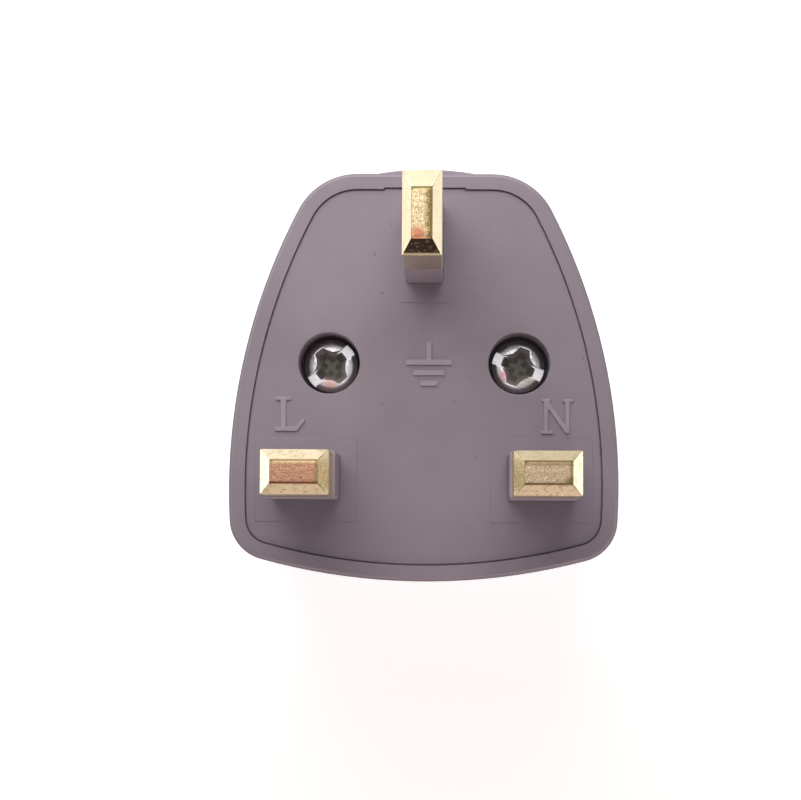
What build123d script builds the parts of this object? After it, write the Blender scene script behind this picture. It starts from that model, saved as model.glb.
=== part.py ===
from build123d import *
import math
import os

# Travel adapter: three rectangular pins at the back, a universal socket in the front.
# Millimetres. The socket face lies in the plane z = 0 and the pins point up.
# X runs from the live side to the neutral side, and Y runs up towards the earth pin.

# Pin layout, and how far the body reaches past the pins
pole_spacing = 22.2
earth_spacing = 22.2
pole_margin = 7.3
pole_line_height = 9.8
earth_margin = 6.7

# Body outline, seen from the pin side
widest_height = 9.0
side_radius = 57.4
bottom_radius = 59.0
top_corner_radius = 6.3
bottom_corner_radius = 4.0

# Front housing
body_depth = 28.0
skirt_depth = 10.0
head_rise = 2.0
head_crown_radius = 29.0
head_inset = 0.6
head_draft_angle = 1.0
head_wall = 2.0
shoulder_wall = 1.6
face_thickness = 2.2
face_edge_radius = 1.2
shoulder_edge_chamfer = 0.3
rim_width = 1.5
rim_edge_chamfer = 0.35
ledge_width = 0.9

# Rear cover
cover_recess = 0.25
cover_thickness = 2.4
cover_gap = 0.02
cover_edge_chamfer = 0.15
key_width = 7.8
key_reach = 0.15
pad_width = 9.6
pad_height = 7.8
pad_drop = 0.3
pad_step = 0.08
earth_pad_width = 4.8
earth_pad_drop = 5.6

# Pins
pole_pin_width = 6.05
pole_pin_height = 3.95
pole_pin_length = 17.7
earth_pin_width = 3.45
earth_pin_height = 7.4
earth_pin_length = 22.7
pin_edge_radius = 0.12
pole_bevel_inset = 0.9
pole_bevel_depth = 1.2
earth_bevel_inset = 0.8
earth_bevel_end_inset = 1.45
earth_bevel_shift = 0.2
earth_bevel_depth = 1.5
neck_depth = 0.6
flange_width = 0.8
flange_thickness = 1.05
tenon_diameter = 2.2
rivet_head_diameter = 3.4
rivet_head_thickness = 0.5
moulding_clearance = 0.02

# Sleeves moulded around the pins
pole_sleeve_length = 9.5
pole_sleeve_lip = 0.17
earth_sleeve_length = 10.6
earth_sleeve_lip = 0.04
sleeve_edge_radius = 0.3

# Cover screws and what they hold together
screw_spacing = 18.0
screw_height = 10.8
screw_hole_diameter = 5.8
screw_sink = 3.5
screw_head_diameter = 5.1
screw_head_height = 1.9
screw_head_rim = 1.1
screw_shoulder = 0.5
screw_crown_rise = 0.22
screw_shank_diameter = 2.9
screw_length = 12.0
screw_point = 1.6
screw_seat_thickness = 1.6
screw_tube_wall = 1.2
screw_shank_clearance = 0.15
thread_clearance = 0.02
boss_diameter = 6.4
boss_gap = 0.05
bore_spare_depth = 0.8
rib_thickness = 1.0
slot_width = 1.2
slot_depth = 0.6
cross_width = 1.3
cross_span = 3.8
cross_depth = 1.35
cross_draft_angle = 9.0
live_screw_turn = 40.0
neutral_screw_turn = -20.5

# Holes and slots of the universal socket
round_pin_spacing = 19.0
round_pin_hole = 5.1
block_slot_width = 6.8
block_slot_height = 4.4
blade_spacing = 12.7
blade_slot_width = 2.1
blade_slot_height = 7.6
slant_spacing = 13.72
slant_slot_height = 7.2
slant_angle = 30.0
round_earth_spacing = 11.9
round_earth_hole = 5.2
flat_earth_spacing = 14.27
flat_earth_slot_height = 8.0
block_earth_slot_width = 4.4
block_earth_slot_height = 8.4
mouth_chamfer = 0.3

# Wells around the contact jaws
well_wall = 1.0
well_gap = 6.35
pole_well_inner_edge = 4.0
pole_well_width = 10.6
pole_well_height = 8.8
earth_well_width = 6.8
earth_well_drop = 3.1
post_clearance = 0.05

# Contact jaws, bent from brass strip
jaw_thickness = 0.5
jaw_bend_radius = 0.6
jaw_pinch_radius = 2.0
jaw_split_depth = 9.0
jaw_pinch_setback = 8.5
jaw_tip_setback = 4.8
jaw_flare = 0.5
jaw_foot_overlap = 1.9
tenon_clearance = 0.05
ear_reach = 0.5
pole_ear_height = 3.0
earth_ear_height = 1.6
pole_jaw_reach = 4.0
thick_finger_start = 8.8
thick_finger_gap = 3.8
blade_end_clearance = 1.0
blade_finger_width = 2.6
blade_finger_gap = 6.2
earth_jaw_reach = 3.0
jaw_end_clearance = 0.5
block_finger_drop = 3.8
block_finger_gap = 3.8
round_finger_height = 6.6
round_finger_gap = 4.5

# Levels and lines worked out from the sizes above
body_width = pole_spacing + 2 * pole_margin
skirt_height = pole_line_height + earth_spacing + earth_margin
bottom_y = -(skirt_height + head_rise) / 2
skirt_top_y = bottom_y + skirt_height
head_top_y = skirt_top_y + head_rise
widest_y = bottom_y + widest_height
pole_y = bottom_y + pole_line_height
earth_y = pole_y + earth_spacing
screw_y = pole_y + screw_height
shoulder_z = body_depth - skirt_depth
cover_face_z = body_depth - cover_recess
cover_inner_z = cover_face_z - cover_thickness
flange_top_z = cover_inner_z + flange_thickness
screw_seat_z = cover_face_z - screw_sink - screw_head_height
tube_end_z = screw_seat_z - screw_seat_thickness
boss_top_z = tube_end_z - boss_gap
screw_tip_z = screw_seat_z - screw_length
well_top_z = cover_inner_z - well_gap
first_foot_z = cover_inner_z - jaw_thickness
second_foot_z = first_foot_z - jaw_thickness
post_top_z = first_foot_z - post_clearance
split_z = cover_inner_z - jaw_split_depth
cavity_inset = rim_width + ledge_width
round_earth_y = pole_y + round_earth_spacing
flat_earth_y = pole_y + flat_earth_spacing
pole_x = pole_spacing / 2
screw_x = screw_spacing / 2
earth_well_bottom_y = round_earth_y - earth_well_drop
round_finger_y = (round_earth_y + flat_earth_y) / 2
round_finger_top_y = round_finger_y + round_finger_height / 2
earth_strip_end = skirt_top_y - rim_width - ledge_width - jaw_end_clearance
block_finger_bottom_y = earth_y - block_finger_drop
block_finger_y = (block_finger_bottom_y + earth_strip_end) / 2
earth_ear_y = (round_finger_top_y + block_finger_bottom_y) / 2
pole_well_outer_edge = pole_well_inner_edge + pole_well_width
thick_finger_end = pole_well_outer_edge - jaw_end_clearance
thick_finger_width = thick_finger_end - thick_finger_start
blade_finger_start = pole_well_inner_edge + blade_end_clearance
post_xs = (pole_well_inner_edge - well_wall / 2, pole_well_outer_edge + well_wall / 2)
pole_well_x = (pole_well_inner_edge + pole_well_outer_edge) / 2

os.makedirs("parts", exist_ok=True)


def bowed_outline(top_y, crown_radius, inset):
    """Outline with bowed sides and bottom. Its top is an arc, or flat where crown_radius is 0."""
    with BuildSketch() as outline:
        with Locations((0, bottom_y + bottom_radius)):
            Circle(bottom_radius - inset)
        for side in (-1, 1):
            with Locations(Location((side * (body_width / 2 - side_radius), widest_y), (0, 0, 90))):
                Circle(side_radius - inset, mode=Mode.INTERSECT)
        if crown_radius:
            with Locations((0, top_y - crown_radius)):
                Circle(crown_radius - inset, mode=Mode.INTERSECT)
        else:
            with Locations((0, top_y - inset)):
                Rectangle(
                    2 * body_width,
                    2 * skirt_height,
                    align=(Align.CENTER, Align.MAX),
                    mode=Mode.INTERSECT,
                )
        fillet(outline.vertices().group_by(Axis.Y)[-1], top_corner_radius - inset)
        fillet(outline.vertices().group_by(Axis.Y)[0], bottom_corner_radius - inset)
    return outline.sketch


def skirt_outline(inset):
    """Outline of the rear part, flat at the top."""
    return bowed_outline(skirt_top_y, 0, inset)


def head_outline(inset):
    """Outline of the front part, a little narrower, with a crown that stands above the rear part."""
    return bowed_outline(head_top_y + head_inset, head_crown_radius, head_inset + inset)


def draft_inset(depth):
    """How far the drafted side wall of the head moves in over the given depth."""
    return depth * math.tan(math.radians(head_draft_angle))


def key_outline(gap):
    """The step at the top edge of the rear cover, by the earth pin."""
    with BuildSketch() as key:
        with Locations((0, skirt_top_y - rim_width + key_reach - gap)):
            Rectangle(key_width - 2 * gap, skirt_height / 4, align=(Align.CENTER, Align.MAX))
    return key.sketch


# Socket slots as centre, width, height and turn, and its round holes as centre and diameter
socket_slots = [
    (0, flat_earth_y, blade_slot_width, flat_earth_slot_height, 0),
    (0, earth_y, block_earth_slot_width, block_earth_slot_height, 0),
]
socket_holes = [(0, round_earth_y, round_earth_hole)]
for side in (-1, 1):
    socket_slots.append((side * pole_x, pole_y, block_slot_width, block_slot_height, 0))
    socket_slots.append((side * blade_spacing / 2, pole_y, blade_slot_width, blade_slot_height, 0))
    slant_x = side * slant_spacing / 2
    socket_slots.append((slant_x, pole_y, blade_slot_width, slant_slot_height, side * slant_angle))
    socket_holes.append((side * round_pin_spacing / 2, pole_y, round_pin_hole))

# Front housing: a deep cup, open at the back, with the socket in its floor
with BuildPart() as skirt:
    with BuildSketch(Plane.XY.offset(shoulder_z - shoulder_wall)):
        add(skirt_outline(0))
    extrude(amount=skirt_depth + shoulder_wall)
    chamfer(skirt.faces().sort_by(Axis.Z)[0].edges(), shoulder_edge_chamfer)
    chamfer(skirt.faces().sort_by(Axis.Z)[-1].edges(), rim_edge_chamfer)

with BuildPart() as front_housing:
    with BuildSketch(Plane.XY.offset(shoulder_z)):
        add(head_outline(0))
    with BuildSketch():
        add(head_outline(draft_inset(shoulder_z)))
    loft(ruled=True)
    fillet(front_housing.faces().sort_by(Axis.Z)[0].edges(), face_edge_radius)
    chamfer(front_housing.faces().sort_by(Axis.Z)[-1].edges(), shoulder_edge_chamfer)
    add(skirt.part)
    with BuildSketch(Plane.XY.offset(cover_inner_z)):
        add(skirt_outline(rim_width))
        add(key_outline(0))
    extrude(amount=body_depth - cover_inner_z, mode=Mode.SUBTRACT)
    with BuildSketch(Plane.XY.offset(shoulder_z - shoulder_wall)):
        add(skirt_outline(cavity_inset))
    extrude(amount=cover_inner_z - shoulder_z + shoulder_wall, mode=Mode.SUBTRACT)
    with BuildSketch(Plane.XY.offset(shoulder_z - shoulder_wall)):
        add(head_outline(head_wall))
    with BuildSketch(Plane.XY.offset(face_thickness)):
        add(head_outline(head_wall + draft_inset(shoulder_z - shoulder_wall - face_thickness)))
    loft(ruled=True, mode=Mode.SUBTRACT)
    # Well blocks, bosses and ribs grow from the floor and end inside the side walls
    with BuildSketch(Plane.XY.offset(face_thickness)):
        for side in (-1, 1):
            with Locations((side * (pole_well_inner_edge - well_wall), pole_y)):
                Rectangle(
                    body_width / 2,
                    pole_well_height + 2 * well_wall,
                    align=(Align.MIN if side > 0 else Align.MAX, Align.CENTER),
                )
        with Locations((0, skirt_top_y - rim_width)):
            Rectangle(
                earth_well_width + 2 * well_wall,
                skirt_top_y - rim_width - earth_well_bottom_y + well_wall,
                align=(Align.CENTER, Align.MAX),
            )
        with Locations((0, screw_y)):
            Rectangle(body_width, rib_thickness)
        add(head_outline(head_wall / 2), mode=Mode.INTERSECT)
    extrude(amount=well_top_z - face_thickness)
    with BuildSketch(Plane.XY.offset(face_thickness)):
        for side in (-1, 1):
            with Locations((side * (pole_well_inner_edge + pole_well_width / 2), pole_y)):
                Rectangle(pole_well_width, pole_well_height)
        with Locations((0, earth_well_bottom_y)):
            Rectangle(
                earth_well_width,
                skirt_top_y - cavity_inset - earth_well_bottom_y,
                align=(Align.CENTER, Align.MIN),
            )
    extrude(amount=well_top_z - face_thickness, mode=Mode.SUBTRACT)
    # Posts on the well walls carry the ears of the contacts
    with BuildSketch(Plane.XY.offset(face_thickness)):
        for side in (-1, 1):
            for x in post_xs:
                with Locations((side * x, pole_y)):
                    Rectangle(well_wall, pole_ear_height)
            with Locations((side * (earth_well_width + well_wall) / 2, earth_ear_y)):
                Rectangle(well_wall, earth_ear_height)
    extrude(amount=post_top_z - face_thickness)
    with BuildSketch(Plane.XY.offset(face_thickness)):
        with Locations((-screw_x, screw_y), (screw_x, screw_y)):
            Circle(boss_diameter / 2)
    extrude(amount=boss_top_z - face_thickness)
    with BuildSketch(Plane.XY.offset(boss_top_z)):
        with Locations((-screw_x, screw_y), (screw_x, screw_y)):
            Circle(screw_shank_diameter / 2 + thread_clearance)
    extrude(amount=screw_tip_z - bore_spare_depth - boss_top_z, mode=Mode.SUBTRACT)
    # Every slot and hole of the socket is cut by itself, with a chamfered mouth
    for x, y, width, height, turn in socket_slots:
        with BuildSketch():
            with Locations((x, y)):
                Rectangle(width, height, rotation=turn)
        extrude(amount=face_thickness, mode=Mode.SUBTRACT)
        with BuildSketch():
            with Locations((x, y)):
                Rectangle(width + 2 * mouth_chamfer, height + 2 * mouth_chamfer, rotation=turn)
        extrude(amount=mouth_chamfer, taper=45, mode=Mode.SUBTRACT)
    for x, y, diameter in socket_holes:
        with BuildSketch():
            with Locations((x, y)):
                Circle(diameter / 2)
        extrude(amount=face_thickness, mode=Mode.SUBTRACT)
        with BuildSketch():
            with Locations((x, y)):
                Circle(diameter / 2 + mouth_chamfer)
        extrude(amount=mouth_chamfer, taper=45, mode=Mode.SUBTRACT)
front_housing.part.label = "front_housing"
export_step(front_housing.part, "parts/front_housing.step")


def rounded_bar(width, height, growth, radius):
    """Rounded rectangle that is wider and higher than a pin's section by growth on each side."""
    with BuildSketch() as section:
        RectangleRounded(width + 2 * growth, height + 2 * growth, radius)
    return section.sketch


pins = {
    "live": (-pole_x, pole_y, pole_pin_width, pole_pin_height),
    "neutral": (pole_x, pole_y, pole_pin_width, pole_pin_height),
    "earth": (0, earth_y, earth_pin_width, earth_pin_height),
}

# Rear cover: the inner plate with the pins, held by two sunk screws
with BuildPart() as rear_cover:
    with BuildSketch(Plane.XY.offset(cover_inner_z)):
        add(skirt_outline(rim_width + cover_gap))
        add(key_outline(cover_gap))
    extrude(amount=cover_thickness)
    chamfer(rear_cover.faces().sort_by(Axis.Z)[-1].edges(), cover_edge_chamfer)
    with BuildSketch(Plane.XY.offset(cover_face_z)):
        with Locations((-pole_x, pole_y - pad_drop), (pole_x, pole_y - pad_drop)):
            Rectangle(pad_width, pad_height)
        with Locations((0, earth_y - earth_pad_drop)):
            Rectangle(earth_pad_width, earth_pad_drop, align=(Align.CENTER, Align.MIN))
    extrude(amount=pad_step)
    with BuildSketch(Plane.XY.offset(cover_inner_z)):
        with Locations((-screw_x, screw_y), (screw_x, screw_y)):
            Circle(screw_hole_diameter / 2 + screw_tube_wall)
    extrude(amount=tube_end_z - cover_inner_z)
    with Locations((-screw_x, screw_y, cover_face_z), (screw_x, screw_y, cover_face_z)):
        CounterBoreHole(
            radius=screw_shank_diameter / 2 + screw_shank_clearance,
            counter_bore_radius=screw_hole_diameter / 2,
            counter_bore_depth=screw_sink + screw_head_height,
        )
    for name, (x, y, width, height) in pins.items():
        lip = earth_sleeve_lip if name == "earth" else pole_sleeve_lip
        with BuildSketch(Plane((x, y, cover_inner_z))):
            add(rounded_bar(width, height, lip + moulding_clearance, sleeve_edge_radius))
        extrude(amount=cover_thickness + pad_step, mode=Mode.SUBTRACT)
        with BuildSketch(Plane((x, y, cover_inner_z))):
            add(rounded_bar(width, height, flange_width + moulding_clearance, sleeve_edge_radius))
        extrude(amount=flange_thickness, mode=Mode.SUBTRACT)
rear_cover.part.label = "rear_cover"
export_step(rear_cover.part, "parts/rear_cover.step")

# Pins: flange and riveted tenon below the cover, thin neck in the sleeve, bare bevelled end
for name, (x, y, width, height) in pins.items():
    is_earth = name == "earth"
    length = earth_pin_length if is_earth else pole_pin_length
    sleeve_length = earth_sleeve_length if is_earth else pole_sleeve_length
    lip = earth_sleeve_lip if is_earth else pole_sleeve_lip
    side_inset = earth_bevel_inset if is_earth else pole_bevel_inset
    end_inset = earth_bevel_end_inset if is_earth else pole_bevel_inset
    tip_y = y - earth_bevel_shift if is_earth else y
    bevel_depth = earth_bevel_depth if is_earth else pole_bevel_depth
    sleeve_end_z = cover_face_z + sleeve_length
    bevel_z = cover_face_z + length - bevel_depth
    with BuildPart() as pin:
        with BuildSketch(Plane((x, y, cover_inner_z))):
            add(rounded_bar(width, height, flange_width, sleeve_edge_radius))
        extrude(amount=flange_thickness)
        with BuildSketch(Plane((x, y, flange_top_z))):
            add(rounded_bar(width, height, -neck_depth, pin_edge_radius))
        extrude(amount=sleeve_end_z - flange_top_z)
        with BuildSketch(Plane((x, y, sleeve_end_z))):
            add(rounded_bar(width, height, 0, pin_edge_radius))
        extrude(amount=bevel_z - sleeve_end_z)
        with BuildSketch(Plane((x, y, bevel_z))):
            add(rounded_bar(width, height, 0, pin_edge_radius))
        with BuildSketch(Plane((x, tip_y, bevel_z + bevel_depth))):
            add(rounded_bar(width - 2 * side_inset, height - 2 * end_inset, 0, pin_edge_radius))
        loft()
        with BuildSketch(Plane((x, y, cover_inner_z))):
            Circle(tenon_diameter / 2)
        extrude(amount=second_foot_z - cover_inner_z)
        with BuildSketch(Plane((x, y, second_foot_z))):
            Circle(rivet_head_diameter / 2)
        extrude(amount=-rivet_head_thickness)
        chamfer(pin.edges().group_by(Axis.Z)[0], rivet_head_thickness / 2)
    pin.part.label = f"{name}_pin"
    export_step(pin.part, f"parts/{name}_pin.step")

    with BuildPart() as sleeve:
        with BuildSketch(Plane((x, y, flange_top_z))):
            add(rounded_bar(width, height, lip, sleeve_edge_radius))
            neck = rounded_bar(width, height, moulding_clearance - neck_depth, pin_edge_radius)
            add(neck, mode=Mode.SUBTRACT)
        extrude(amount=sleeve_end_z - flange_top_z)
    sleeve.part.label = f"{name}_sleeve"
    export_step(sleeve.part, f"parts/{name}_sleeve.step")


def jaw_profile(foot_z, reach, gap):
    """Side view of one finger: foot, upright, slope to the pinch and flared tip."""
    pinch = gap / 2 + jaw_thickness
    with BuildSketch() as profile:
        with BuildLine():
            FilletPolyline(
                (-jaw_foot_overlap, foot_z + jaw_thickness),
                (reach, foot_z + jaw_thickness),
                (reach, split_z),
                (pinch, jaw_pinch_setback),
                (pinch + jaw_flare, jaw_tip_setback),
                radius=[jaw_bend_radius + jaw_thickness, jaw_pinch_radius, jaw_pinch_radius],
            )
            offset(amount=jaw_thickness, side=Side.RIGHT)
        make_face()
    return profile.sketch


def export_jaw(name, pin_centre, foot_z, fingers, plates):
    """One jaw: fingers as plane, reach, gap and width, joined by flat plates as centre and size."""
    with BuildPart() as jaw:
        for plane, reach, gap, width in fingers:
            with BuildSketch(plane):
                add(jaw_profile(foot_z, reach, gap))
            extrude(amount=width / 2, both=True)
        with BuildSketch(Plane.XY.offset(foot_z)):
            for centre, width, height in plates:
                with Locations(centre):
                    Rectangle(width, height)
        extrude(amount=jaw_thickness)
        with BuildSketch(Plane.XY.offset(foot_z)):
            with Locations(pin_centre):
                Circle(tenon_diameter / 2 + tenon_clearance)
        extrude(amount=jaw_thickness, mode=Mode.SUBTRACT)
    jaw.part.label = name
    export_step(jaw.part, f"parts/{name}.step")


# Contacts: each pin has two jaws, riveted back to back. The first one's ears rest on the posts.
strip_width = thick_finger_end - blade_finger_start
strip_x = (thick_finger_end + blade_finger_start) / 2
for name, side in (("live", -1), ("neutral", 1)):
    for jaw_name, foot_z, turn in (("upper_jaw", first_foot_z, 1), ("lower_jaw", second_foot_z, -1)):
        fingers = []
        for start, width, gap in (
            (thick_finger_start, thick_finger_width, thick_finger_gap),
            (blade_finger_start, blade_finger_width, blade_finger_gap),
        ):
            centre = (side * (start + width / 2), pole_y, 0)
            plane = Plane(centre, x_dir=(0, turn, 0), z_dir=(turn, 0, 0))
            fingers.append((plane, pole_jaw_reach, gap, width))
        plates = [((side * strip_x, pole_y), strip_width, 2 * jaw_foot_overlap)]
        if foot_z == first_foot_z:
            plates.append(((side * pole_well_x, pole_y), pole_well_width + 2 * ear_reach, pole_ear_height))
        export_jaw(f"{name}_{jaw_name}", (side * pole_x, pole_y), foot_z, fingers, plates)

earth_strip_start = round_finger_y - round_finger_height / 2
earth_strip_y = (earth_strip_start + earth_strip_end) / 2
for jaw_name, foot_z, turn in (("right_jaw", first_foot_z, 1), ("left_jaw", second_foot_z, -1)):
    fingers = []
    for centre_y, height, gap in (
        (block_finger_y, earth_strip_end - block_finger_bottom_y, block_finger_gap),
        (round_finger_y, round_finger_height, round_finger_gap),
    ):
        plane = Plane((0, centre_y, 0), x_dir=(turn, 0, 0), z_dir=(0, -turn, 0))
        fingers.append((plane, earth_jaw_reach, gap, height))
    plates = [((0, earth_strip_y), 2 * jaw_foot_overlap, earth_strip_end - earth_strip_start)]
    if foot_z == first_foot_z:
        plates.append(((0, earth_ear_y), earth_well_width + 2 * ear_reach, earth_ear_height))
    export_jaw(f"earth_{jaw_name}", (0, earth_y), foot_z, fingers, plates)

# Cover screws: pan heads with a slot across a cross recess, sunk below the cover
with BuildPart() as cover_screws:
    for x, turn in ((-screw_x, live_screw_turn), (screw_x, neutral_screw_turn)):
        head_top_z = screw_seat_z + screw_head_height
        head_radius = screw_head_diameter / 2
        with BuildSketch(Plane((x, screw_y, 0), x_dir=(1, 0, 0), z_dir=(0, -1, 0))):
            with BuildLine():
                Polyline(
                    (0, head_top_z),
                    (0, screw_tip_z),
                    (screw_shank_diameter / 8, screw_tip_z),
                    (screw_shank_diameter / 2, screw_tip_z + screw_point),
                    (screw_shank_diameter / 2, screw_seat_z),
                    (head_radius, screw_seat_z),
                    (head_radius, screw_seat_z + screw_head_rim),
                    (head_radius - screw_shoulder, head_top_z - screw_crown_rise),
                    (0, head_top_z),
                    close=True,
                )
            make_face()
        revolve(axis=Axis((x, screw_y, 0), (0, 0, 1)))
        with BuildSketch(Plane((x, screw_y, head_top_z))):
            Rectangle(screw_head_diameter, slot_width, rotation=turn)
        extrude(amount=-slot_depth, mode=Mode.SUBTRACT)
        with BuildSketch(Plane((x, screw_y, head_top_z))):
            Rectangle(cross_span, cross_width, rotation=turn)
            Rectangle(cross_width, cross_span, rotation=turn)
        extrude(amount=-cross_depth, taper=cross_draft_angle, mode=Mode.SUBTRACT)
cover_screws.part.label = "cover_screws"
export_step(cover_screws.part, "parts/cover_screws.step")
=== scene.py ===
# %% [markdown]
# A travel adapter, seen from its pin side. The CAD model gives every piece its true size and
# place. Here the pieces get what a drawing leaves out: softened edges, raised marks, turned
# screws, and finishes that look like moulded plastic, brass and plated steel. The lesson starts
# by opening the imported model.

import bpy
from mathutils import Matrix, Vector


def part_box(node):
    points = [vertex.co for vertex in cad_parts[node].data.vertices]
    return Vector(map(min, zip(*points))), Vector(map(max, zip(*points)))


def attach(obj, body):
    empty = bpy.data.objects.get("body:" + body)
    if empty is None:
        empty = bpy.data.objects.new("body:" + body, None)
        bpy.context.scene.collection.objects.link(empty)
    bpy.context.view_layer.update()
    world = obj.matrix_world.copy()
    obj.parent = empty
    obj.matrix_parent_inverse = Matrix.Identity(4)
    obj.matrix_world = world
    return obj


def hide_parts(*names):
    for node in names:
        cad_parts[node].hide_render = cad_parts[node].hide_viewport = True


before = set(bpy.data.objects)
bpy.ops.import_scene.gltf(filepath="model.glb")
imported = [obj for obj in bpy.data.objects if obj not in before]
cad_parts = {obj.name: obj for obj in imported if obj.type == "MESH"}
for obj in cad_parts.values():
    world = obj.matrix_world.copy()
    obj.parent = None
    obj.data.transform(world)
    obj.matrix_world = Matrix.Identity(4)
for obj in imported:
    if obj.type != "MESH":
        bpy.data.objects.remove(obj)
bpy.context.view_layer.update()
print("pieces in the model:", len(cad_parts))

# %% [markdown]
# Blender works in metres and this object is a few centimetres across, so lengths are written in
# millimetres and turned into metres by one factor. The picture uses the plain Standard view, so
# that a colour comes out as it is written.

# %% Units and view
import math
import bmesh
import bpy
from mathutils import Euler, Matrix, Vector

MM = 0.001
bpy.context.scene.view_settings.view_transform = "Standard"


def from_screen(red, green, blue):
    """A colour as a paint program shows it, 0 to 255, turned into the linear light of a shader."""
    levels = [value / 255 for value in (red, green, blue)]
    linear = [v / 12.92 if v <= 0.04045 else ((v + 0.055) / 1.055) ** 2.4 for v in levels]
    return (*linear, 1.0)


def corners(node):
    """Lowest and highest corner of a CAD piece, in millimetres."""
    return [Vector(corner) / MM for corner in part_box(node)]


print("a middle grey of the screen is", round(from_screen(128, 128, 128)[0], 3), "in linear light")

# %% [markdown]
# The camera stands about 20 cm above the tips of the pins and looks almost straight down, with a
# long lens, so the pins lean a few degrees outwards in the picture and show a sliver of their
# sides. Its place and its three small turns were fitted to the corners of the pins.

# %% Camera above the pins
CAMERA_PLACE = Vector((2.599, -16.538, 249.020)) * MM
CAMERA_TURNS = Euler((-0.06007, -0.02170, -0.00499), "XYZ")
CAMERA_LENS = 105.32
SENSOR_WIDTH = 36.0
NEAREST = 5.0

camera_data = bpy.data.cameras.new("camera")
camera_data.lens = CAMERA_LENS
camera_data.sensor_fit = "HORIZONTAL"
camera_data.sensor_width = SENSOR_WIDTH
camera_data.clip_start = NEAREST * MM
camera = bpy.data.objects.new("camera", camera_data)
bpy.context.collection.objects.link(camera)
turned_camera = CAMERA_TURNS.to_matrix().transposed().to_4x4()
camera.matrix_world = Matrix.Translation(CAMERA_PLACE) @ turned_camera
bpy.context.scene.camera = camera
print("camera is", round(camera.location.length / MM), "mm from the middle of the socket face")

# %% [markdown]
# A finish is a node tree, and so is the sky. Sums on its wires are easier to read as Python, so a
# small class wraps a socket and lets plus, minus, times and divided-by add the Math nodes by
# themselves. A bench holds one tree and has the one way to add a node to it. A finish bench also
# knows its material, and where on the piece a point lies and which way it faces.

# %% Wires and benches


class Wire:
    """An output socket, with the operators that these finishes use and their reflected forms."""

    def __init__(self, bench, socket):
        self.bench = bench
        self.socket = socket

    def maths(self, operation, first, second):
        return self.bench.add("ShaderNodeMath", {"operation": operation}, {0: first, 1: second})

    def __add__(self, other):
        return self.maths("ADD", self, other)

    def __radd__(self, other):
        return self.maths("ADD", other, self)

    def __sub__(self, other):
        return self.maths("SUBTRACT", self, other)

    def __rsub__(self, other):
        return self.maths("SUBTRACT", other, self)

    def __mul__(self, other):
        return self.maths("MULTIPLY", self, other)

    def __rmul__(self, other):
        return self.maths("MULTIPLY", other, self)

    def __truediv__(self, other):
        return self.maths("DIVIDE", self, other)

    def __rtruediv__(self, other):
        return self.maths("DIVIDE", other, self)


class Bench:
    """A node tree, and the one way to add a node to it."""

    def __init__(self, tree):
        self.tree = tree

    def apart(self, vector):
        """The three numbers of a vector."""
        node = self.add("ShaderNodeSeparateXYZ", values={0: vector}, out=None)
        return [Wire(self, node.outputs[axis]) for axis in "XYZ"]

    def put(self, socket, value):
        """Joins a wire to a socket, or sets the socket's own value."""
        if isinstance(value, Wire):
            self.tree.links.new(value.socket, socket)
        else:
            socket.default_value = value

    def add(self, kind, settings=None, values=None, out=0):
        """Adds a node: its settings first, then what goes into its sockets."""
        node = self.tree.nodes.new(kind)
        for key, value in (settings or {}).items():
            setattr(node, key, value)
        for key, value in (values or {}).items():
            self.put(node.inputs[key], value)
        return node if out is None else Wire(self, node.outputs[out])

    def steps(self, value, low, high, **ends):
        """A smooth rise from 0 at low to 1 at high, or between the ends To_Min and To_Max."""
        values = {"Value": value, "From Min": low, "From Max": high}
        values.update({name.replace("_", " "): end for name, end in ends.items()})
        return self.add("ShaderNodeMapRange", {"interpolation_type": "SMOOTHSTEP"}, values)

    def blend(self, amount, first, second):
        """A colour between two others."""
        return self.add("ShaderNodeMix", {"data_type": "RGBA"}, {0: amount, 6: first, 7: second}, out=2)


class FinishBench(Bench):
    """One finish: its material, its main shader, and the patterns that it is mixed from."""

    def __init__(self, name):
        self.material = bpy.data.materials.new(name)
        self.material.use_nodes = True
        super().__init__(self.material.node_tree)
        self.shader = self.tree.nodes["Principled BSDF"]
        where = self.add("ShaderNodeTexCoord", out=None)
        self.place = Wire(self, where.outputs["Object"])
        self.x, self.y, self.z = self.apart(self.place)
        self.facing = self.apart(Wire(self, where.outputs["Normal"]))

    def noise(self, size, detail=2.0, stretch=None):
        """Cloudy noise whose lumps are about this many millimetres across."""
        where = self.place
        if stretch:
            values = {"Vector": where, "Scale": stretch}
            where = self.add("ShaderNodeMapping", {"vector_type": "POINT"}, values)
        values = {"Vector": where, "Scale": 1 / (size * MM), "Detail": detail}
        return self.add("ShaderNodeTexNoise", {}, values)

    def near(self, point, radius, soft=0.35):
        """1 within a radius in millimetres of a point, and 0 further away."""
        away = self.add(
            "ShaderNodeVectorMath", {"operation": "DISTANCE"},
            {0: self.place, 1: tuple(value * MM for value in point)}, out="Value",
        )
        return 1 - self.steps(away, radius * (1 - soft) * MM, radius * (1 + soft) * MM)

    def bump(self, height, depth, strength=1.0, under=None):
        """Turns a height from 0 to 1 into relief this many millimetres deep."""
        values = {"Strength": strength, "Distance": depth * MM, "Height": height}
        if under:
            values["Normal"] = under
        return self.add("ShaderNodeBump", {}, values)

    def finish(self, **sockets):
        """Fills the main shader's sockets and hands the material over."""
        for name, value in sockets.items():
            self.put(self.shader.inputs[name.replace("_", " ")], value)
        print(self.material.name, "is made of", len(self.tree.nodes), "nodes")
        return self.material
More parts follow.
